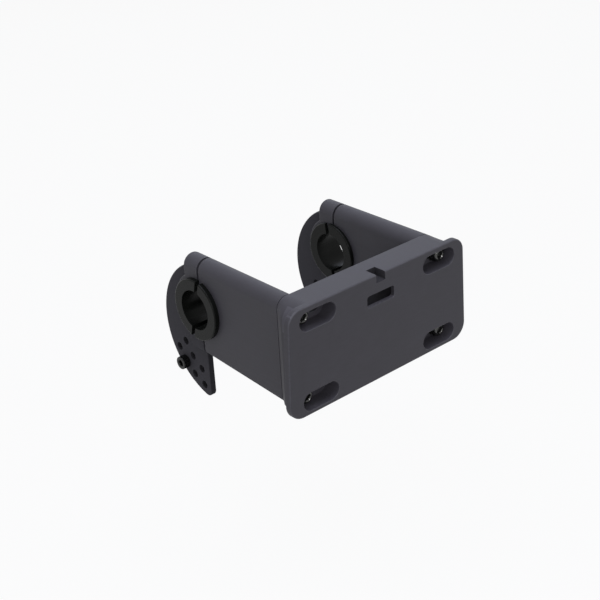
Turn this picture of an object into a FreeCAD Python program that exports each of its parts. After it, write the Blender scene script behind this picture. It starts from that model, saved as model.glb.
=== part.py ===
import FreeCAD, Part
import math
import os

# Bicycle basket mount.
# Two arms clamp a round handlebar and carry a thick front plate, over which the bracket of a basket slides.
# Sizes are millimetres. The origin lies on the handlebar's axis, midway between the two arms.
# X runs along the handlebar, the front plate faces -Y, and +Z is up.

# Handlebar and the two-part bushes that pack it out to the clamp's bore
BAR_D = 25.4
SEAT_D = 31.8
FLANGE_D = 39.4
OUTER_FLANGE_T = 3.3
INNER_FLANGE_T = 2.2
FLANGE_EDGE_R = 0.8
BUSH_GAP = 3.0
SEAT_CLEAR = 0.05
LEFT_BUSH_TURN = 12.5
RIGHT_BUSH_TURN = -8.0

# Arms
ARM_PITCH = 109.8
ARM_T = 14.0
ARM_TOP = 31.4
ARM_BOTTOM_REAR = -29.0
ARM_BOTTOM_FRONT = -33.4
ARM_EDGE_R = 1.0
ARM_HEEL_R = 2.5

# Split between an arm and its clamp cap
SPLIT_Y = -1.4
SPLIT_GAP = 1.0

# Clamp cap: a nose above the bar, a shell behind it, a block below it and a round web
NOSE_REAR = 12.3
NOSE_R = 1.5
SHELL_D = 44.0
HEEL_REAR = 12.2
HEEL_R = 5.0
WEB_T = 4.2
WEB_OUT = 2.5
WEB_SET_BACK = 2.8
WEB_R = 46.9
WEB_Y = -4.3
WEB_Z = -19.5
WEB_TIP_R = 4.0
WEB_EDGE_R = 0.8
BOSS_EDGE_R = 0.8

# Adjusting holes in the web, on arcs about the web's centre
EAR_HOLE_D = 5.5
OUTER_ROW_FROM_RIM = 6.2
OUTER_ROW_FIRST = -29.2
OUTER_ROW_STEP = -14.3
OUTER_ROW_COUNT = 4
ROW_SPACING = 9.5
INNER_ROW_FIRST = -25.3
INNER_ROW_STEP = -19.1
INNER_ROW_COUNT = 3
BOLT_HOLE_INDEX = 1

# Front plate: a body that swells a little from the width over the arms, and an overhanging lip
PLATE_FRONT = -92.6
PLATE_T = 19.2
BODY_SWELL = 3.2
BODY_SWELL_RUN = 7.0
BODY_CROWN_GROWTH = 4.9
BODY_EDGE_R = 0.8
SWELL_STATIONS = 7
LIP_T = 3.8
LIP_OVERHANG_TOP = 4.7
LIP_OVERHANG_BOTTOM = 7.4
LIP_DROP = 3.3
LIP_TOP_CORNER_R = 9.0
LIP_BOTTOM_CORNER_R = 10.0
LIP_EDGE_R = 1.1
MOUTH_EDGE_R = 0.6

# Slots that let the arms be set to the width of the stem
SLOT_OUTWARD = 1.3
SLOT_INWARD = 14.1
SLOT_UPPER_DROP = 9.2
SLOT_LOWER_RISE = 5.1
COUNTER_W = 11.5
COUNTER_DEPTH = 11.0
SLOT_W = 5.5
SLOT_WALL = 2.6
HOUSING_WALL = 1.2
HOUSING_FLOOR = 1.6

# Notch and latch window for the bracket's catch
NOTCH_W = 6.8
NOTCH_DEPTH = 8.2
NOTCH_DROP = 4.8
WINDOW_W = 21.6
WINDOW_TOP = 19.9
WINDOW_BOTTOM = 12.7
WINDOW_R = 1.5
FRONT_WALL = 2.8
CATCH_ROOM_W = 25.6
CATCH_ROOM_TOP = 22.0
CATCH_ROOM_BOTTOM = 9.6

# Ribs behind the front wall
RIB_T = 2.4
RIM_WALL = 3.0
SIDE_WALL = 3.0
POCKET_R = 1.2

# Fasteners: M5 socket screws, washers, inserts and a nut
M5_D = 5.0
M5_HEAD_D = 8.5
M5_HEAD_H = 5.0
M5_HEX = 4.0
M5_HEX_DEPTH = 2.5
M5_HEAD_ROUND = 0.5
M5_TIP_CHAMFER = 0.6
M5_HOLE_D = 5.5
WASHER_D = 10.0
WASHER_T = 1.0
WASHER_HOLE_D = 5.3
THREAD_CLEAR = 0.05
INSERT_D = 7.4
INSERT_LENGTH = 9.0
INSERT_FIT = 0.02
SCREW_LENGTH = 90.0
CROSS_BOLT_LENGTH = 120.0
NUT_AF = 8.0
NUT_T = 4.7

# Worked out from the sizes above
ARM_REAR = SPLIT_Y - SPLIT_GAP / 2
CAP_FRONT = SPLIT_Y + SPLIT_GAP / 2
PLATE_REAR = PLATE_FRONT + PLATE_T
LIP_REAR = PLATE_FRONT + LIP_T
ARM_CENTRE = ARM_PITCH / 2
ARM_HALF = ARM_T / 2
OVER_ARMS = ARM_CENTRE + ARM_HALF
BODY_HALF = OVER_ARMS + BODY_SWELL
LIP_HALF_TOP = BODY_HALF + LIP_OVERHANG_TOP
LIP_HALF_BOTTOM = BODY_HALF + LIP_OVERHANG_BOTTOM
PLATE_TOP = ARM_TOP
BODY_BOTTOM = ARM_BOTTOM_FRONT
PLATE_BOTTOM = BODY_BOTTOM - LIP_DROP
SLOT_SPAN = SLOT_OUTWARD + SLOT_INWARD
SLOT_MID_X = ARM_CENTRE + (SLOT_OUTWARD - SLOT_INWARD) / 2
SLOT_UPPER_Z = ARM_TOP - SLOT_UPPER_DROP
SLOT_LOWER_Z = ARM_BOTTOM_FRONT + SLOT_LOWER_RISE
SLOT_FLOOR = PLATE_FRONT + COUNTER_DEPTH
CLAMP_BORE_R = SEAT_D / 2 + SEAT_CLEAR
WEB_FRONT = CAP_FRONT + WEB_SET_BACK
OUTER_ROW_R = WEB_R - OUTER_ROW_FROM_RIM
INNER_ROW_R = OUTER_ROW_R - ROW_SPACING
SLOPE = (ARM_BOTTOM_REAR - ARM_BOTTOM_FRONT) / (ARM_REAR - PLATE_REAR)

V = FreeCAD.Vector


def box(x0, x1, y0, y1, z0, z1):
    return Part.makeBox(x1 - x0, y1 - y0, z1 - z0, V(x0, y0, z0))


def rod_x(radius, x0, x1, y=0.0, z=0.0):
    return Part.makeCylinder(radius, x1 - x0, V(x0, y, z), V(1, 0, 0))


def rod_y(radius, y0, y1, x=0.0, z=0.0):
    return Part.makeCylinder(radius, y1 - y0, V(x, y0, z), V(0, 1, 0))


def rounded_outline(corners, radii):
    """A closed wire through the corners in order, with an arc of its own radius at each corner."""
    count = len(corners)
    starts = []
    ends = []
    middles = []
    for i in range(count):
        here = corners[i]
        back = (corners[i - 1] - here).normalize()
        ahead = (corners[(i + 1) % count] - here).normalize()
        half = math.acos(max(-1.0, min(1.0, back.dot(ahead)))) / 2
        reach = radii[i] / math.tan(half)
        inward = (back + ahead).normalize()
        starts.append(here + back * reach)
        ends.append(here + ahead * reach)
        middles.append(here + inward * (radii[i] / math.sin(half) - radii[i]))
    edges = []
    for i in range(count):
        if radii[i] > 0:
            edges.append(Part.Arc(starts[i], middles[i], ends[i]).toShape())
        edges.append(Part.LineSegment(ends[i], starts[(i + 1) % count]).toShape())
    return Part.Wire(edges)


def swept_solid(wire, along):
    return Part.Face(wire).extrude(along)


def edges_where(shape, wanted):
    """The edges whose bounding box satisfies the test."""
    return [edge for edge in shape.Edges if wanted(edge.BoundBox)]


def near(value, target):
    return abs(value - target) < 0.01


def flat_in_y(bounds, y):
    return near(bounds.YMin, y) and near(bounds.YMax, y)


def obround_y(width, span, y0, y1, x, z):
    """A slot-shaped solid along Y, whose end centres lie span apart along X."""
    half = width / 2
    left = rod_y(half, y0, y1, x - span / 2, z)
    right = rod_y(half, y0, y1, x + span / 2, z)
    middle = box(x - span / 2, x + span / 2, y0, y1, z - half, z + half)
    return left.fuse([right, middle]).removeSplitter()


def arched_bar(y0, y1, z_bottom, z_top):
    """A bar along Y in the arm's section: flat sides and a full-round top."""
    spring = z_top - ARM_HALF
    start = V(-ARM_HALF, y0, z_bottom)
    left = V(-ARM_HALF, y0, spring)
    crest = V(0, y0, z_top)
    right = V(ARM_HALF, y0, spring)
    end = V(ARM_HALF, y0, z_bottom)
    wire = Part.Wire([
        Part.LineSegment(start, left).toShape(),
        Part.Arc(left, crest, right).toShape(),
        Part.LineSegment(right, end).toShape(),
        Part.LineSegment(end, start).toShape(),
    ])
    return swept_solid(wire, V(0, y1 - y0, 0))


def on_screw_line(shape, upper, along=0.0):
    """Moves a piece built along +Y at the origin to a screw's line, a distance behind the slot's floor."""
    placed = shape.copy()
    placed.translate(V(0, along, 0))
    if not upper:
        placed.rotate(V(0, 0, 0), V(1, 0, 0), math.degrees(math.atan(SLOPE)))
    placed.translate(V(0, SLOT_FLOOR, SLOT_UPPER_Z if upper else SLOT_LOWER_Z))
    return placed


def cap_meets(upper):
    """How far behind the slot's floor, along the screw, the cap's flat face lies."""
    straight = CAP_FRONT - SLOT_FLOOR
    return straight if upper else straight / math.cos(math.atan(SLOPE))


def arm():
    body = arched_bar(PLATE_REAR, ARM_REAR, ARM_BOTTOM_FRONT - 1, ARM_TOP)
    outline = rounded_outline(
        [
            V(-ARM_T, PLATE_REAR, ARM_BOTTOM_FRONT),
            V(-ARM_T, ARM_REAR, ARM_BOTTOM_REAR),
            V(-ARM_T, ARM_REAR, ARM_TOP + 1),
            V(-ARM_T, PLATE_REAR, ARM_TOP + 1),
        ],
        [0, ARM_HEEL_R, 0, 0],
    )
    body = body.common(swept_solid(outline, V(2 * ARM_T, 0, 0))).Solids[0]
    heel_top = ARM_BOTTOM_REAR + ARM_HEEL_R
    lower = edges_where(body, lambda b: b.ZMax < heel_top + 0.1 and near(b.XMin, b.XMax) and b.YLength > 0.1)
    body = body.makeFillet(ARM_EDGE_R, lower)
    bore = rod_x(CLAMP_BORE_R, -ARM_T, ARM_T)
    way = rod_y(M5_HOLE_D / 2, 0, 2 * PLATE_T - PLATE_REAR)
    return body.cut([bore, on_screw_line(way, True), on_screw_line(way, False)])


def ear_hole_places():
    """The Y and Z of each adjusting hole, with the outer row first."""
    places = []
    rows = [
        (OUTER_ROW_R, OUTER_ROW_FIRST, OUTER_ROW_STEP, OUTER_ROW_COUNT),
        (INNER_ROW_R, INNER_ROW_FIRST, INNER_ROW_STEP, INNER_ROW_COUNT),
    ]
    for radius, first, step, count in rows:
        for i in range(count):
            angle = math.radians(first + i * step)
            places.append((WEB_Y + radius * math.cos(angle), WEB_Z + radius * math.sin(angle)))
    return places


def web(out):
    """The thin round plate behind the bar, cut off a little behind the split."""
    inner = out * (WEB_OUT - WEB_T)
    outer = out * WEB_OUT
    disc = rod_x(WEB_R, min(inner, outer), max(inner, outer), WEB_Y, WEB_Z)
    keep = box(-ARM_T, ARM_T, WEB_FRONT, WEB_Y + WEB_R + 1, WEB_Z - WEB_R - 1, WEB_Z + WEB_R + 1)
    disc = disc.common(keep)
    tips = edges_where(disc, lambda b: flat_in_y(b, WEB_FRONT) and b.ZMax < WEB_Z and b.XLength > 1)
    disc = disc.makeFillet(WEB_TIP_R, tips)
    rims = edges_where(disc, lambda b: near(b.XMin, b.XMax) and b.ZLength > 0.5)
    return disc.makeFillet(WEB_EDGE_R, rims)


def clamp_cap(out):
    nose = arched_bar(CAP_FRONT, NOSE_REAR, 0, ARM_TOP)
    nose = nose.makeFillet(NOSE_R, edges_where(nose, lambda b: flat_in_y(b, NOSE_REAR) and b.ZMax > 1))
    shell = rod_x(SHELL_D / 2, -ARM_HALF, ARM_HALF)
    shell = shell.common(box(-ARM_T, ARM_T, CAP_FRONT, SHELL_D, -SHELL_D, SHELL_D))
    shell = shell.makeFillet(
        BOSS_EDGE_R, edges_where(shell, lambda b: near(b.XMin, b.XMax) and b.YLength > 1)
    )
    heel = box(-ARM_HALF, ARM_HALF, CAP_FRONT, HEEL_REAR, ARM_BOTTOM_REAR, 0)
    heel = heel.makeFillet(
        HEEL_R, edges_where(heel, lambda b: flat_in_y(b, HEEL_REAR) and near(b.ZMax, ARM_BOTTOM_REAR))
    )
    heel = heel.makeFillet(
        BOSS_EDGE_R,
        edges_where(heel, lambda b: near(b.XMin, b.XMax) and b.ZMax < -1 and b.YMax > CAP_FRONT + 0.1),
    )
    cap = nose.fuse([shell, heel, web(out)]).removeSplitter()
    bore = rod_x(CLAMP_BORE_R, -ARM_T, ARM_T)
    holes = [rod_x(EAR_HOLE_D / 2, -ARM_T, ARM_T, y, z) for y, z in ear_hole_places()]
    pocket_shape = rod_y(INSERT_D / 2 + INSERT_FIT, -1, INSERT_LENGTH)
    pockets = [on_screw_line(pocket_shape, upper, cap_meets(upper)) for upper in (True, False)]
    return cap.cut([bore] + holes + pockets)


def bush_half(out, rear):
    """One half of the flanged bush, turned a little in the clamp. The thicker flange is the outer one."""
    body = rod_x(SEAT_D / 2, -ARM_HALF, ARM_HALF)
    low = -ARM_HALF - (INNER_FLANGE_T if out > 0 else OUTER_FLANGE_T)
    high = ARM_HALF + (OUTER_FLANGE_T if out > 0 else INNER_FLANGE_T)
    left = rod_x(FLANGE_D / 2, low, -ARM_HALF)
    right = rod_x(FLANGE_D / 2, ARM_HALF, high)
    whole = body.fuse([left, right]).removeSplitter()
    rims = edges_where(whole, lambda b: near(b.XMin, b.XMax) and (near(b.XMin, low) or near(b.XMin, high)))
    whole = whole.makeFillet(FLANGE_EDGE_R, rims)
    whole = whole.cut(rod_x(BAR_D / 2, -ARM_T, ARM_T))
    if rear:
        keep = box(-ARM_T, ARM_T, BUSH_GAP / 2, FLANGE_D, -FLANGE_D, FLANGE_D)
    else:
        keep = box(-ARM_T, ARM_T, -FLANGE_D, -BUSH_GAP / 2, -FLANGE_D, FLANGE_D)
    half = whole.common(keep)
    half.rotate(V(0, 0, 0), V(1, 0, 0), RIGHT_BUSH_TURN if out > 0 else LEFT_BUSH_TURN)
    return half


def plate_outline(y, half_top, half_bottom, bottom, top_r, bottom_r):
    corners = [
        V(-half_top, y, PLATE_TOP),
        V(half_top, y, PLATE_TOP),
        V(half_bottom, y, bottom),
        V(-half_bottom, y, bottom),
    ]
    return rounded_outline(corners, [top_r, top_r, bottom_r, bottom_r])


def body_outline(y, grown):
    """The body's outline, from flush with the arms at 0 to its full width at 1."""
    half = OVER_ARMS + BODY_SWELL * grown
    crown_r = ARM_HALF + BODY_CROWN_GROWTH * grown
    return plate_outline(y, half, half, BODY_BOTTOM, crown_r, ARM_EDGE_R)


def plate_body():
    """The body swells in a soft S-curve behind a straight part."""
    sections = []
    for i in range(SWELL_STATIONS):
        along = i / (SWELL_STATIONS - 1)
        grown = (1 - math.cos(math.pi * along)) / 2
        sections.append(body_outline(PLATE_REAR - BODY_SWELL_RUN * along, grown))
    swell = Part.makeLoft(sections, True, False)
    rear_edges = edges_where(swell, lambda b: flat_in_y(b, PLATE_REAR))
    swell = swell.makeFillet(BODY_EDGE_R, rear_edges)
    front = PLATE_REAR - BODY_SWELL_RUN
    straight = swept_solid(body_outline(front, 1.0), V(0, LIP_REAR - front, 0))
    return swell.fuse(straight)


def plate_lip():
    radii = (LIP_TOP_CORNER_R, LIP_BOTTOM_CORNER_R)
    rim = plate_outline(LIP_REAR, LIP_HALF_TOP, LIP_HALF_BOTTOM, PLATE_BOTTOM, *radii)
    lip = swept_solid(rim, V(0, PLATE_FRONT - LIP_REAR, 0))
    return lip.makeFillet(LIP_EDGE_R, edges_where(lip, lambda b: flat_in_y(b, PLATE_FRONT)))


def plate_blank():
    """The plate's outer form: body, lip and the housings under the body."""
    return plate_body().fuse([plate_lip()] + lower_housings())


def lower_housings():
    """The lower counterbores reach below the body, so each has a housing that stands out under it."""
    housings = []
    for side in (-1, 1):
        width = COUNTER_W + 2 * HOUSING_WALL
        rear = SLOT_FLOOR + HOUSING_FLOOR
        housing = obround_y(width, SLOT_SPAN, LIP_REAR - 1, rear, side * SLOT_MID_X, SLOT_LOWER_Z)
        housings.append(housing.common(box(-BODY_HALF, BODY_HALF, LIP_REAR - 1, rear, PLATE_BOTTOM, 0)))
    return housings


def slot_cutters():
    cutters = []
    for side in (-1, 1):
        for z, upper in ((SLOT_UPPER_Z, True), (SLOT_LOWER_Z, False)):
            x = side * SLOT_MID_X
            mouth = obround_y(COUNTER_W, SLOT_SPAN, PLATE_FRONT - 1, PLATE_REAR, x, z)
            in_front = box(-LIP_HALF_BOTTOM, LIP_HALF_BOTTOM, -PLATE_T, 0, -PLATE_T, PLATE_T)
            cutters.append(mouth.common(on_screw_line(in_front, upper)))
            way = obround_y(SLOT_W, SLOT_SPAN, -1, PLATE_T, x, 0)
            cutters.append(on_screw_line(way, upper))
    return cutters


def pocket(x0, x1, z0, z1):
    """A moulded pocket between ribs, open at the back."""
    y0 = PLATE_FRONT + FRONT_WALL
    wire = rounded_outline(
        [V(x0, y0, z0), V(x1, y0, z0), V(x1, y0, z1), V(x0, y0, z1)],
        [POCKET_R] * 4,
    )
    return swept_solid(wire, V(0, PLATE_REAR + 1 - y0, 0))


def rib_pockets():
    """Pockets that leave ribs, the four slot housings and the walls round the latch window standing."""
    slot_edge = COUNTER_W / 2 + SLOT_WALL
    slot_reach = SLOT_SPAN / 2 + slot_edge
    side_low = SLOT_LOWER_Z + slot_edge
    side_high = SLOT_UPPER_Z - slot_edge
    middle_z = (side_low + side_high) / 2
    floor = BODY_BOTTOM + RIM_WALL
    roof = PLATE_TOP - RIM_WALL
    inner = CATCH_ROOM_W / 2 + RIB_T
    column_out = SLOT_MID_X - slot_reach
    side_in = column_out + RIB_T
    side_out = OVER_ARMS - SIDE_WALL
    side_mid = (side_in + side_out) / 2
    half_rib = RIB_T / 2
    spans = [
        (side_in, side_mid - half_rib, side_low, side_high),
        (side_mid + half_rib, side_out, side_low, side_high),
        (inner, column_out, floor, middle_z - half_rib),
        (inner, column_out, middle_z + half_rib, roof),
        (half_rib, inner - RIB_T, floor, middle_z - half_rib),
        (half_rib, inner - RIB_T, middle_z + half_rib, CATCH_ROOM_BOTTOM - RIB_T),
    ]
    pockets = []
    for x0, x1, z0, z1 in spans:
        pockets.append(pocket(x0, x1, z0, z1))
        pockets.append(pocket(-x1, -x0, z0, z1))
    pockets.append(pocket(-CATCH_ROOM_W / 2, CATCH_ROOM_W / 2, CATCH_ROOM_BOTTOM, CATCH_ROOM_TOP))
    return pockets


def mouth_edges(plate):
    """The front edges of the slots and of the latch window."""
    spare = MOUTH_EDGE_R / 2
    slot_half = COUNTER_W / 2 + spare
    window_mid = (WINDOW_TOP + WINDOW_BOTTOM) / 2
    window_half = (WINDOW_TOP - WINDOW_BOTTOM) / 2 + spare

    def wanted(b):
        x = abs(b.Center.x)
        z = b.Center.z
        slot_away = min(abs(z - SLOT_UPPER_Z), abs(z - SLOT_LOWER_Z))
        in_slot = abs(x - SLOT_MID_X) < SLOT_SPAN / 2 + slot_half and slot_away < slot_half
        in_window = x < WINDOW_W / 2 + spare and abs(z - window_mid) < window_half
        return flat_in_y(b, PLATE_FRONT) and (in_slot or in_window)

    return edges_where(plate, wanted)


def front_plate():
    blank = plate_blank()
    notch = box(
        -NOTCH_W / 2, NOTCH_W / 2,
        PLATE_FRONT - 1, PLATE_FRONT + NOTCH_DEPTH,
        PLATE_TOP - NOTCH_DROP, PLATE_TOP + 1,
    )
    half = WINDOW_W / 2
    y = PLATE_FRONT - 1
    window = rounded_outline(
        [
            V(-half, y, WINDOW_BOTTOM),
            V(half, y, WINDOW_BOTTOM),
            V(half, y, WINDOW_TOP),
            V(-half, y, WINDOW_TOP),
        ],
        [WINDOW_R] * 4,
    )
    window = swept_solid(window, V(0, FRONT_WALL + 2, 0))
    plate = blank.cut(slot_cutters() + rib_pockets() + [notch, window])
    return plate.makeFillet(MOUTH_EDGE_R, mouth_edges(plate))


def hexagon_x(across_flats, x0, x1):
    radius = across_flats / math.sqrt(3)
    corners = []
    for i in range(6):
        angle = math.radians(60 * i)
        corners.append(V(x0, radius * math.cos(angle), radius * math.sin(angle)))
    wire = Part.makePolygon(corners + [corners[0]])
    return swept_solid(wire, V(x1 - x0, 0, 0))


def socket_screw(length):
    """A socket screw along +X, with the underside of its head at the origin."""
    head = rod_x(M5_HEAD_D / 2, -M5_HEAD_H, 0)
    head = head.makeFillet(M5_HEAD_ROUND, edges_where(head, lambda b: near(b.XMax, -M5_HEAD_H)))
    shank = rod_x(M5_D / 2, 0, length)
    shank = shank.makeChamfer(M5_TIP_CHAMFER, edges_where(shank, lambda b: near(b.XMin, length)))
    screw = head.fuse(shank).removeSplitter()
    return screw.cut(hexagon_x(M5_HEX, -M5_HEAD_H - 1, -M5_HEAD_H + M5_HEX_DEPTH))


def tube_x(outer, inner, x0, x1):
    return rod_x(outer, x0, x1).cut(rod_x(inner, x0 - 1, x1 + 1))


def turned_to_y(shape):
    """Turns a piece built along +X so that it points along +Y."""
    turned = shape.copy()
    turned.rotate(V(0, 0, 0), V(0, 0, 1), 90)
    return turned


def moved(shape, x, y, z):
    result = shape.copy()
    result.translate(V(x, y, z))
    return result


def washer():
    return tube_x(WASHER_D / 2, WASHER_HOLE_D / 2, -WASHER_T, 0)


def insert():
    return tube_x(INSERT_D / 2, M5_D / 2 + THREAD_CLEAR, 0, INSERT_LENGTH)


def cross_nut():
    """The nut with its chamfered corners."""
    nut = hexagon_x(NUT_AF, 0, NUT_T)
    reach = NUT_AF / math.sqrt(3)
    rise = (reach - NUT_AF / 2) * math.tan(math.radians(30))
    low = Part.makeCone(reach - 2 * rise, reach, rise, V(0, 0, 0), V(1, 0, 0))
    body = rod_x(reach, rise, NUT_T - rise)
    high = Part.makeCone(reach, reach - 2 * rise, rise, V(NUT_T - rise, 0, 0), V(1, 0, 0))
    nut = nut.common(low.fuse([body, high]))
    return nut.cut(rod_x(M5_D / 2 + THREAD_CLEAR, -1, NUT_T + 1))


def arm_pieces(out):
    """Everything that one arm carries, built on the YZ plane. Its outer side points to -X or +X."""
    pieces = {
        "arm": arm(),
        "clamp_cap": clamp_cap(out),
        "bush_front": bush_half(out, False),
        "bush_rear": bush_half(out, True),
    }
    for level, upper in (("upper", True), ("lower", False)):
        pieces[level + "_screw"] = on_screw_line(turned_to_y(socket_screw(SCREW_LENGTH)), upper, -WASHER_T)
        pieces[level + "_washer"] = on_screw_line(turned_to_y(washer()), upper)
        pieces[level + "_insert"] = on_screw_line(turned_to_y(insert()), upper, cap_meets(upper))
    return pieces


def cross_pieces():
    """The bolt that ties the two webs behind the handlebar, and its nut."""
    y, z = ear_hole_places()[BOLT_HOLE_INDEX]
    web_face = ARM_CENTRE + WEB_OUT
    return {
        "cross_bolt": moved(socket_screw(CROSS_BOLT_LENGTH), -web_face, y, z),
        "cross_nut": moved(cross_nut(), web_face, y, z),
    }


def all_pieces():
    pieces = {"front_plate": front_plate()}
    for side, out in (("left", -1), ("right", 1)):
        for name, shape in arm_pieces(out).items():
            pieces[side + "_" + name] = moved(shape, out * ARM_CENTRE, 0, 0)
    pieces.update(cross_pieces())
    return pieces


os.makedirs("parts", exist_ok=True)
for name, shape in all_pieces().items():
    shape.exportStep("parts/" + name + ".step")
    print(name, "solids", len(shape.Solids), "valid", shape.isValid(), "volume", round(shape.Volume, 1))
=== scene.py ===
import math

import bmesh
import bpy
from mathutils import Matrix, Vector


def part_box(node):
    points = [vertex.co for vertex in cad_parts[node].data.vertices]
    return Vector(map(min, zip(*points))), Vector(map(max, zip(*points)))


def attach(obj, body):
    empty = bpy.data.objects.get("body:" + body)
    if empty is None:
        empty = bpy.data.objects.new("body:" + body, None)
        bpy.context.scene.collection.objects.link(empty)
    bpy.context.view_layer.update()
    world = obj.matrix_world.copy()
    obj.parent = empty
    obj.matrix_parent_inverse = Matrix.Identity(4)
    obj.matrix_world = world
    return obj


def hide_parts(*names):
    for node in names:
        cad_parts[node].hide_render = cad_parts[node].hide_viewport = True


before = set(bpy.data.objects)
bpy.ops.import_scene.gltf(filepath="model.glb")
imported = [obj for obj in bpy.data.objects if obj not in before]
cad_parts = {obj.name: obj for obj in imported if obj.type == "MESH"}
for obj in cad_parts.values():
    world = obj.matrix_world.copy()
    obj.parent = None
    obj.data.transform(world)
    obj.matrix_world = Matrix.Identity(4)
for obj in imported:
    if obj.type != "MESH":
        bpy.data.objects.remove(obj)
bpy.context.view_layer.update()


# The studio: a photograph of the mount against white, taken from above its left arm.
# The camera has the photograph's place, tilt and lens. A pale floor lies well below the mount.
CAMERA_AT = Vector((-0.4373, -0.5368, 0.3308))
CAMERA_FORWARD = Vector((0.5773, 0.6811, -0.4503))
CAMERA_UP = Vector((0.3338, 0.3064, 0.8915))
LENS_MM = 73.27
SENSOR_MM = 36.0
CLIP_START = 0.01
FLOOR_Z = -0.16
FLOOR_REACH = 20.0

camera = bpy.data.objects.new("camera", bpy.data.cameras.new("camera"))
bpy.context.scene.collection.objects.link(camera)
camera.data.lens = LENS_MM
camera.data.sensor_width = SENSOR_MM
camera.data.clip_start = CLIP_START
backward = -CAMERA_FORWARD.normalized()
sideways = CAMERA_UP.cross(backward).normalized()
upward = backward.cross(sideways)
turn = Matrix((sideways, upward, backward)).transposed()
camera.matrix_world = Matrix.Translation(CAMERA_AT) @ turn.to_4x4()
bpy.context.scene.camera = camera


class Value:
    """A shader socket that takes part in Python arithmetic. Each operation adds its Math node."""

    def __init__(self, tree, socket):
        self.tree = tree
        self.socket = socket

    def node(self, kind, settings=None, out=0, **inputs):
        """Adds a node: its settings come first, then its inputs' values or links, by name or place."""
        made = self.tree.nodes.new(kind)
        for key, value in (settings or {}).items():
            setattr(made, key, value)
        for key, value in inputs.items():
            place = int(key[1:]) if key[0] == "_" else key.replace("_", " ")
            if isinstance(value, Value):
                self.tree.links.new(value.socket, made.inputs[place])
            elif value is not None:
                made.inputs[place].default_value = value
        return Value(self.tree, made.outputs[out])

    def math(self, operation, other=None, third=None):
        return self.node("ShaderNodeMath", {"operation": operation}, _0=self, _1=other, _2=third)

    def __add__(self, other):
        return self.math("ADD", other)

    def __sub__(self, other):
        return self.math("SUBTRACT", other)

    def __mul__(self, other):
        return self.math("MULTIPLY", other)

    def __rsub__(self, other):
        return self.math("MULTIPLY_ADD", -1.0, other)

    def __neg__(self):
        return self.math("MULTIPLY", -1.0)

    __radd__ = __add__
    __rmul__ = __mul__

    def sine(self):
        return self.math("SINE")

    def size(self):
        return self.math("ABSOLUTE")

    def root(self):
        return self.math("SQRT")

    def clamp(self):
        return self.node("ShaderNodeClamp", None, _0=self)

    def step(self, low, high):
        """0 below low and 1 above high, with a smooth change between."""
        smooth = {"interpolation_type": "SMOOTHSTEP"}
        return self.node("ShaderNodeMapRange", smooth, _0=self, _1=low, _2=high)


def material(name):
    """An empty material, with its Principled shader and a Value that starts its nodes."""
    made = bpy.data.materials.new(name)
    made.use_nodes = True
    shader = made.node_tree.nodes["Principled BSDF"]
    return made, shader, Value(made.node_tree, None)


def feed(shader, **inputs):
    """Links values to the shader's sockets, or sets them there when they are plain numbers."""
    for key, value in inputs.items():
        socket = shader.inputs[key.replace("_", " ")]
        if isinstance(value, Value):
            value.tree.links.new(value.socket, socket)
        else:
            socket.default_value = value


def dress(made, *names):
    """Gives CAD nodes a finish, in every slot that they have."""
    for name in names:
        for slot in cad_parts[name].material_slots:
            slot.material = made


# The studio's floor, sky and lamps. A wide soft box hangs overhead and a bluish one shines from behind.
# Two weaker ones stand to the front left and front right, and a small one in front of the camera puts
# the glints on the screws. Floor and sky look white to the camera and in reflections.
VIEWED = ("Is Camera Ray", "Is Glossy Ray", "Is Transmission Ray")
FLOOR_GREY = (0.55, 0.55, 0.55, 1.0)
FLOOR_WHITE = 0.92
SKY_BLUE = (0.92, 0.95, 1.0, 1.0)
SKY_LIGHT = 0.34
WHITE = (1.0, 1.0, 1.0, 1.0)
LAMPS_AIM = (0.0, -0.03, 0.0)


def viewed(pen):
    """1 for the rays of the camera and of reflections, and 0 for those that only light something."""
    rays = [pen.node("ShaderNodeLightPath", None, out=kind) for kind in VIEWED]
    return (rays[0] + rays[1] + rays[2]).clamp()


floor_mesh = bpy.data.meshes.new("floor")
floor_corners = [
    (-FLOOR_REACH, -FLOOR_REACH, FLOOR_Z),
    (FLOOR_REACH, -FLOOR_REACH, FLOOR_Z),
    (FLOOR_REACH, FLOOR_REACH, FLOOR_Z),
    (-FLOOR_REACH, FLOOR_REACH, FLOOR_Z),
]
floor_mesh.from_pydata(floor_corners, [], [(0, 1, 2, 3)])
floor = bpy.data.objects.new("floor", floor_mesh)
bpy.context.scene.collection.objects.link(floor)

pale, pale_shader, pen = material("floor")
feed(pale_shader, Base_Color=FLOOR_GREY, Roughness=0.9)
floor_mesh.materials.append(pale)
glow = pen.node("ShaderNodeEmission", None, Color=WHITE, Strength=1.0)
lit_floor = Value(pale.node_tree, pale_shader.outputs[0])
floor_look = pen.node("ShaderNodeMixShader", None, _0=viewed(pen) * FLOOR_WHITE, _1=lit_floor, _2=glow)
pale.node_tree.links.new(floor_look.socket, pale.node_tree.nodes["Material Output"].inputs[0])

world = bpy.data.worlds.new("studio")
bpy.context.scene.world = world
world.use_nodes = True
sky = Value(world.node_tree, None)
dim = sky.node("ShaderNodeBackground", None, Color=SKY_BLUE, Strength=SKY_LIGHT)
white = sky.node("ShaderNodeBackground", None, Color=WHITE, Strength=1.0)
sky_look = sky.node("ShaderNodeMixShader", None, _0=viewed(sky), _1=dim, _2=white)
world.node_tree.links.new(sky_look.socket, world.node_tree.nodes["World Output"].inputs[0])


def soft_box(name, at, width, height, watts, colour=(1.0, 1.0, 1.0)):
    lamp = bpy.data.lights.new(name, "AREA")
    lamp.color = colour
    lamp.shape = "RECTANGLE"
    lamp.size = width
    lamp.size_y = height
    lamp.energy = watts
    holder = bpy.data.objects.new(name, lamp)
    bpy.context.scene.collection.objects.link(holder)
    holder.location = at
    holder.rotation_euler = (Vector(LAMPS_AIM) - Vector(at)).to_track_quat("-Z", "Y").to_euler()


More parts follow.
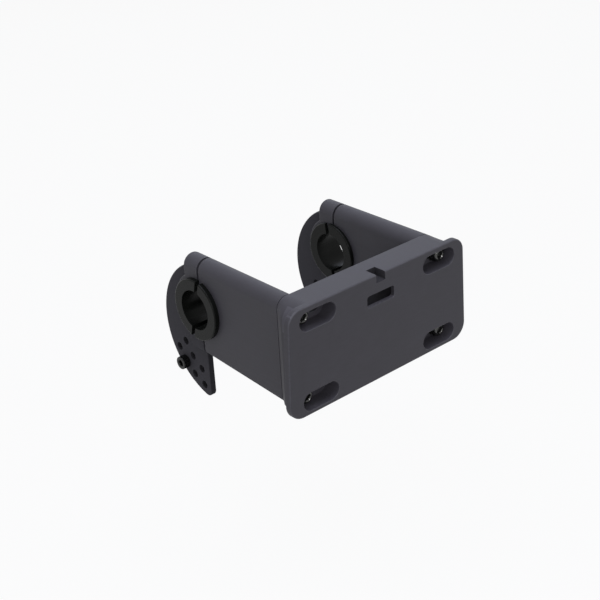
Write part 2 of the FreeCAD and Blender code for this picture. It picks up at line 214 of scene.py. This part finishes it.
soft_box("overhead", (-0.1, -0.1, 1.3), 1.3, 1.0, 16.2, (0.84, 0.87, 1.0))
soft_box("behind", (0.85, 1.0, 0.7), 1.2, 0.9, 3.5, (0.70, 0.79, 1.0))
soft_box("front_left", (-1.2, -0.7, 0.35), 0.9, 0.9, 1.9)
soft_box("front_right", (0.5, -1.3, 0.3), 0.9, 0.9, 1.1)
soft_box("glint", (-0.45, -1.04, 0.565), 0.36, 0.32, 3.0)
bpy.context.scene.view_settings.view_transform = "Standard"


# Front plate, arms and clamp caps: mouldings of glass-filled nylon, dark grey with a breath of violet.
# The moulds are spark-eroded, so the skin has a fine matt grain with slow flow marks. Corners are rubbed
# paler and a highlight is painted along the round rim of the plate's front. Shade and light are painted
# into hollows of the plate, and shade onto the caps' webs and heels.
MOULDED_GREY = (0.0365, 0.0345, 0.0415, 1.0)
RUBBED_AND_HIGHLIT_GREY = (0.075, 0.073, 0.086, 1.0)
GRAIN = 2600.0
FLOW = 38.0
FIBRE = 140.0
CORNER_R = 0.0010
RIM_Y = -0.0912
SOFT_EDGE = 0.0003
PAINTED_SHADE_ROUGHNESS = 1.3

# Places of the plate with another tone, as ranges of |X|, Y and Z and the part of the tone that is lost:
# painted shade in the room behind the latch window and in the notch, and painted light on the window's
# sill and in the upper and lower slots, where the loss is negative.
PLATE_MARKS = (
    ((-0.0010, 0.0134), (-0.0895, -0.0720), (0.0090, 0.0226), 0.55),
    ((-0.0010, 0.0037), (-0.0935, -0.0838), (0.0262, 0.0330), 0.45),
    ((-0.0010, 0.0110), (-0.0922, -0.0892), (0.0121, 0.0132), -1.2),
    ((0.0280, 0.0680), (-0.0922, -0.0810), (0.0150, 0.0294), -0.55),
    ((0.0280, 0.0680), (-0.0922, -0.0810), (-0.0355, -0.0211), -0.55),
)

# The part of a cap with painted shade: what lies behind its nose or low down, away from the round shell.
# WEB_INSIDE is the web's thickness in |X|, between its two faces.
SHELL_R = 0.022
NOSE_REAR_Y = 0.0125
SHADED_BELOW = (-0.021, -0.014)
WEB_INSIDE = (0.0534, 0.0572)
WEB_PAINTED_SHADE = 0.19
WEB_HOLE_PAINTED_SHADE = 0.40


def within(coordinate, low, high):
    """1 between low and high, with a soft change inside both ends."""
    return coordinate.step(low, low + SOFT_EDGE) * (1.0 - coordinate.step(high - SOFT_EDGE, high))


def plate_painted_light_and_shade(x, y, z):
    return sum(
        within(x, *x_range) * within(y, *y_range) * within(z, *z_range) * loss
        for x_range, y_range, z_range, loss in PLATE_MARKS
    )


def cap_painted_shade(x, y, z):
    """Painted shade: the web and the heel are darker than the rest, and the walls of the web's holes are
    darkest.
    """
    from_axis = (y * y + z * z).root()
    behind = y.step(NOSE_REAR_Y, NOSE_REAR_Y + SOFT_EDGE)
    below = 1.0 - z.step(*SHADED_BELOW)
    shaded = (behind + below).clamp() * from_axis.step(SHELL_R, SHELL_R + SOFT_EDGE)
    return shaded * (within(x, *WEB_INSIDE) * WEB_HOLE_PAINTED_SHADE + WEB_PAINTED_SHADE)


def moulding(name, offset, painted_light_and_shade_at=None):
    """offset moves the grain and the flow marks, so that no two mouldings have the same."""
    made, shader, pen = material(name)
    place = pen.node("ShaderNodeTexCoord", None, out=3)
    shifted = pen.node("ShaderNodeVectorMath", {"operation": "ADD"}, _0=place, _1=(offset, 0.0, 0.0))
    drawn = {"_0": shifted, "_1": (1.0, 0.25, 6.0)}
    stretched = pen.node("ShaderNodeVectorMath", {"operation": "MULTIPLY"}, **drawn)
    grain = pen.node("ShaderNodeTexNoise", None, Vector=shifted, Scale=GRAIN, Detail=2.0, Roughness=0.6)
    pits = pen.node("ShaderNodeTexVoronoi", None, Vector=shifted, Scale=GRAIN * 0.8)
    clouds = pen.node("ShaderNodeTexNoise", None, Vector=shifted, Scale=FLOW, Detail=3.0, Distortion=1.4)
    fibres = pen.node("ShaderNodeTexNoise", None, Vector=stretched, Scale=FIBRE, Detail=4.0, Roughness=0.7)

    # Wear and painted highlight: a rounded normal that departs from the bare one marks a worn corner. A
    # highlight is painted along the rim, where the front face of the plate turns away.
    bare = pen.node("ShaderNodeNewGeometry", None, out=1)
    rounded = pen.node("ShaderNodeBevel", {"samples": 8}, Radius=CORNER_R)
    along = pen.node("ShaderNodeVectorMath", {"operation": "DOT_PRODUCT"}, out=1, _0=bare, _1=rounded)
    corner = (1.0 - along).step(0.003, 0.07) * fibres.step(0.25, 0.75)
    x, y, z = [pen.node("ShaderNodeSeparateXYZ", None, out=axis, Vector=place) for axis in range(3)]
    forward = -pen.node("ShaderNodeSeparateXYZ", None, out=1, Vector=bare)
    turning = forward.step(0.05, 0.4) * (1.0 - forward.step(0.85, 0.98))
    rim_highlight = (1.0 - y.step(RIM_Y - 0.0002, RIM_Y)) * turning * fibres.step(0.0, 0.6)
    paling = (corner * 0.3 + rim_highlight * 0.45).clamp()

    tone = (clouds - 0.5) * 0.34 + (fibres - 0.5) * 0.22 + (grain - 0.5) * 0.30 + 1.0
    rough = clouds * 0.10 + grain * 0.12 + 0.47 - paling * 0.35
    # Painted light and shade: the mask lowers the tone where shade is painted, raises it where light is
    # painted, and makes the painted shade rougher.
    if painted_light_and_shade_at:
        painted_light_and_shade = painted_light_and_shade_at(x.size(), y, z)
        tone = (1.0 - painted_light_and_shade) * tone
        rough = painted_light_and_shade.clamp() * PAINTED_SHADE_ROUGHNESS + rough
    greys = {"_0": paling, "_6": MOULDED_GREY, "_7": RUBBED_AND_HIGHLIT_GREY}
    grey = pen.node("ShaderNodeMix", {"data_type": "RGBA"}, out=2, **greys)
    shade = pen.node("ShaderNodeVectorMath", {"operation": "SCALE"}, _0=grey, Scale=tone)
    height = grain * 0.6 + pits * 0.4 + clouds * 0.25
    bump = pen.node("ShaderNodeBump", None, Strength=0.35, Distance=0.00012, Height=height)
    feed(shader, Base_Color=shade, Roughness=rough, Normal=bump, IOR=1.53, Specular_IOR_Level=0.26)
    return made


dress(moulding("plate_moulding", 0.0, plate_painted_light_and_shade), "front_plate")
dress(moulding("arm_moulding", 0.37), "left_arm", "right_arm")
dress(moulding("cap_moulding", 0.81, cap_painted_shade), "left_clamp_cap", "right_clamp_cap")


# Flanged bushes: two half rings of smooth black plastic in each clamp, which fit it to a thinner tube.
# They come from a mould with a turned bore, so fine rings run round their axis.
BUSH_BLACK = (0.0050, 0.0054, 0.0048)
RINGS = 9000.0

bush, bush_shader, pen = material("bush_black")
place = pen.node("ShaderNodeTexCoord", None, out=3)
across = pen.node("ShaderNodeVectorMath", {"operation": "MULTIPLY"}, _0=place, _1=(0.0, 1.0, 1.0))
from_axis = pen.node("ShaderNodeVectorMath", {"operation": "LENGTH"}, out=1, _0=across)
wander = pen.node("ShaderNodeTexNoise", None, Vector=place, Scale=300.0, Detail=3.0)
turned_rings = (from_axis * RINGS + wander * 2.0).sine()
smear = pen.node("ShaderNodeTexNoise", None, Vector=place, Scale=70.0, Detail=2.0)
bush_tone = smear * 0.5 + 0.75
bush_shade = pen.node("ShaderNodeVectorMath", {"operation": "SCALE"}, _0=BUSH_BLACK, Scale=bush_tone)
bush_height = turned_rings * 0.3 + wander * 0.5
bush_bump = pen.node("ShaderNodeBump", None, Strength=0.12, Distance=0.00008, Height=bush_height)
feed(bush_shader, Base_Color=bush_shade, Roughness=smear * 0.14 + 0.20, Normal=bush_bump)
feed(bush_shader, IOR=1.5, Specular_IOR_Level=0.09)
dress(bush, "left_bush_front", "left_bush_rear", "right_bush_front", "right_bush_rear")


# Socket screws and the cross bolt: cold-headed steel with rolled threads and an oiled black finish,
# blacker on the bolt. A straight knurl runs round each head, and its hexagon socket has a scalloped
# chamfer. Washers and nut are of the screws' steel.
OXIDE_BLACK = (0.036, 0.036, 0.035, 1.0)
BOLT_BLACK = (0.020, 0.020, 0.020, 1.0)
WORN_STEEL = (0.50, 0.50, 0.49, 1.0)
WORN_EDGE_R = 0.00015
HEAD_R = 0.00425
HEAD_H = 0.005
HEAD_FOOT = 0.0004
BOLT_ROUND = 0.0005
SCREW_ROUND = 0.0014
ROUND_STEPS = 7
RIM_STEP = 0.00003
KNURL_TEETH = 48
KNURL_DEPTH = 0.00013
SOCKET_HALF = 0.002
SOCKET_DEPTH = 0.0025
SOCKET_MOUTH_R = 0.0026
SHANK_R = 0.0025
SHANK_SIDES = 32
THREAD_PITCH = 0.0008
THREAD_DEPTH = 0.00049
THREAD_ROWS = 8
THREAD_CREST = 0.125
THREAD_ROOT = 0.25
TIP_CHAMFER = 0.0006
SHARP_DEGREES = 28


def oiled_steel(name, oxide, least_wear):
    """Black oxide that wears through to bright steel along the edges."""
    made, shader, pen = material(name)
    place = pen.node("ShaderNodeTexCoord", None, out=3)
    mottle = pen.node("ShaderNodeTexNoise", None, Vector=place, Scale=900.0, Detail=4.0, Roughness=0.65)
    bare = pen.node("ShaderNodeNewGeometry", None, out=1)
    rounded = pen.node("ShaderNodeBevel", {"samples": 4}, Radius=WORN_EDGE_R)
    along = pen.node("ShaderNodeVectorMath", {"operation": "DOT_PRODUCT"}, out=1, _0=bare, _1=rounded)
    paling = (1.0 - along).step(0.01, 0.2) * mottle.step(0.35, 0.7) * 0.45 + least_wear
    steel = pen.node("ShaderNodeMix", {"data_type": "RGBA"}, out=2, _0=paling, _6=oxide, _7=WORN_STEEL)
    shade = pen.node("ShaderNodeVectorMath", {"operation": "SCALE"}, _0=steel, Scale=mottle * 0.6 + 0.7)
    bump = pen.node("ShaderNodeBump", None, Strength=0.2, Distance=0.0001, Height=mottle)
    feed(shader, Base_Color=shade, Roughness=mottle * 0.12 + 0.05, Metallic=0.85, Normal=bump)
    return made


black_steel = oiled_steel("oiled_black_steel", OXIDE_BLACK, 0.06)
bolt_steel = oiled_steel("oiled_black_bolt", BOLT_BLACK, 0.0)


def ring(sides, radius_at, height_at):
    """A ring of points, whose radius and height are numbers or functions of the angle."""
    points = []
    for i in range(sides):
        angle = 2 * math.pi * i / sides
        radius = radius_at(angle) if callable(radius_at) else radius_at
        height = height_at(angle) if callable(height_at) else height_at
        points.append(Vector((radius * math.cos(angle), radius * math.sin(angle), height)))
    return points


def skin(mesh, rings):
    """Adds a closed skin over the rings to a bmesh."""
    rows = [[mesh.verts.new(point) for point in points] for points in rings]
    for lower, upper in zip(rows, rows[1:]):
        for i in range(len(lower)):
            j = (i + 1) % len(lower)
            mesh.faces.new((lower[i], lower[j], upper[j], upper[i]))
    mesh.faces.new(rows[0])
    mesh.faces.new(rows[-1])


def hexagon(angle):
    """The socket's radius: six flats, with a corner at angle 0. The tiny turn keeps it on one flat."""
    return SOCKET_HALF / math.cos((angle + 1e-9) % (math.pi / 3) - math.pi / 6)


def knurl(angle):
    tooth = round(angle * KNURL_TEETH / math.pi) % 2
    return HEAD_R - KNURL_DEPTH * tooth


def head_rings(round_r):
    """From the socket's bottom over the face and its rounded rim down the knurl to the underside."""
    face = -HEAD_H
    sides = 2 * KNURL_TEETH
    rings = [
        ring(sides, hexagon, face + SOCKET_DEPTH),
        ring(sides, hexagon, lambda angle: face + SOCKET_MOUTH_R - hexagon(angle)),
        ring(sides, SOCKET_MOUTH_R, face),
        ring(sides, HEAD_R - round_r - RIM_STEP, face),
    ]
    for i in range(ROUND_STEPS + 1):
        turned = math.pi / 2 * i / ROUND_STEPS
        radius = HEAD_R - round_r * (1 - math.sin(turned))
        rings.append(ring(sides, radius, face + round_r * (1 - math.cos(turned))))
    rings.append(ring(sides, knurl, face + round_r + KNURL_DEPTH))
    rings.append(ring(sides, knurl, -HEAD_FOOT))
    rings.append(ring(sides, HEAD_R - HEAD_FOOT, 0.0))
    return rings


def groove_depth(turns):
    """The thread's depth at a number of turns, from 0 on its crest to 1 in its root."""
    from_root = abs(2 * (turns % 1.0) - 1)
    flank = 1 - THREAD_CREST - THREAD_ROOT
    return min(1.0, max(0.0, (1 - THREAD_CREST - from_root) / flank))


def shank_rings(length, threaded):
    """The shank starts inside the head. Its last part is threaded and ends in a chamfer."""
    start = length - threaded
    rings = [ring(SHANK_SIDES, SHANK_R, -HEAD_FOOT), ring(SHANK_SIDES, SHANK_R, start)]
    rows = round((threaded - TIP_CHAMFER) / THREAD_PITCH * THREAD_ROWS)
    for row in range(1, rows):
        fade = min(1.0, row / THREAD_ROWS)

        def groove(angle):
            turns = row / THREAD_ROWS - angle / (2 * math.pi)
            return SHANK_R - THREAD_DEPTH * fade * groove_depth(turns)

        rings.append(ring(SHANK_SIDES, groove, start + row * THREAD_PITCH / THREAD_ROWS))
    rings.append(ring(SHANK_SIDES, SHANK_R - THREAD_DEPTH, length - TIP_CHAMFER / 3))
    rings.append(ring(SHANK_SIDES, SHANK_R - TIP_CHAMFER, length))
    return rings


def socket_screw(node, body, finish, seat, axis, length, threaded, round_r):
    """seat is the middle of the head's underside, and axis points along the shank."""
    down = Vector(axis).normalized()
    side = down.cross(Vector((0.0, 0.0, 1.0))).normalized()
    screw_turn = Matrix((side, down.cross(side), down)).transposed()
    shape = bmesh.new()
    skin(shape, head_rings(round_r))
    skin(shape, shank_rings(length, threaded))
    bmesh.ops.recalc_face_normals(shape, faces=shape.faces)
    shape.transform(Matrix.Translation(seat) @ screw_turn.to_4x4())
    mesh = bpy.data.meshes.new(node + "_turned")
    shape.to_mesh(mesh)
    shape.free()
    mesh.polygons.foreach_set("use_smooth", [True] * len(mesh.polygons))
    mesh.set_sharp_from_angle(angle=math.radians(SHARP_DEGREES))
    mesh.materials.append(finish)
    screw = bpy.data.objects.new(node + "_turned", mesh)
    bpy.context.scene.collection.objects.link(screw)
    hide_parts(node)
    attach(screw, body)


# Places and lengths of the screws. The lower pair rises with the arms' sloping undersides.
WASHER_T = 0.001
ARM_CENTRE_X = 0.0549
SLOT_FLOOR_Y = -0.0816
UPPER_SLOT_Z = 0.0222
LOWER_SLOT_Z = -0.0283
UNDERSIDE_RISE = 0.0044 / 0.0715
SCREW_LENGTH = 0.090
SCREW_THREAD = 0.022
BOLT_LENGTH = 0.120
BOLT_THREAD = 0.032

for side_name, x in (("left", -ARM_CENTRE_X), ("right", ARM_CENTRE_X)):
    for level, z, rise in (("upper", UPPER_SLOT_Z, 0.0), ("lower", LOWER_SLOT_Z, UNDERSIDE_RISE)):
        place_name = side_name + "_" + level
        screw_axis = Vector((0.0, 1.0, rise)).normalized()
        screw_seat = Vector((x, SLOT_FLOOR_Y, z)) - screw_axis * WASHER_T
        socket_screw(
            place_name + "_screw", side_name + "_arm_set", black_steel,
            screw_seat, screw_axis, SCREW_LENGTH, SCREW_THREAD, SCREW_ROUND,
        )
        dress(black_steel, place_name + "_washer")

bolt_low, bolt_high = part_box("cross_bolt")
bolt_middle = (Vector(bolt_low) + Vector(bolt_high)) / 2
bolt_seat = Vector((bolt_low[0] + HEAD_H, bolt_middle.y, bolt_middle.z))
socket_screw(
    "cross_bolt", "left_arm_set", bolt_steel,
    bolt_seat, (1.0, 0.0, 0.0), BOLT_LENGTH, BOLT_THREAD, BOLT_ROUND,
)
dress(black_steel, "cross_nut")


# Inserts in the caps: turned brass with a straight knurl outside, moulded in. They show only when the
# caps are off.
INSERT_BRASS = (0.55, 0.37, 0.13, 1.0)
TARNISH = (0.27, 0.17, 0.07, 1.0)

brass, brass_shader, pen = material("turned_brass")
place = pen.node("ShaderNodeTexCoord", None, out=3)
turning = pen.node("ShaderNodeTexNoise", None, Vector=place, Scale=500.0, Detail=3.0)
tones = {"_0": turning.step(0.4, 0.7), "_6": INSERT_BRASS, "_7": TARNISH}
stain = pen.node("ShaderNodeMix", {"data_type": "RGBA"}, out=2, **tones)
brass_bump = pen.node("ShaderNodeBump", None, Strength=0.3, Distance=0.0001, Height=turning)
feed(brass_shader, Base_Color=stain, Roughness=turning * 0.2 + 0.25, Metallic=1.0, Normal=brass_bump)
dress(brass, "left_upper_insert", "left_lower_insert", "right_upper_insert", "right_lower_insert")
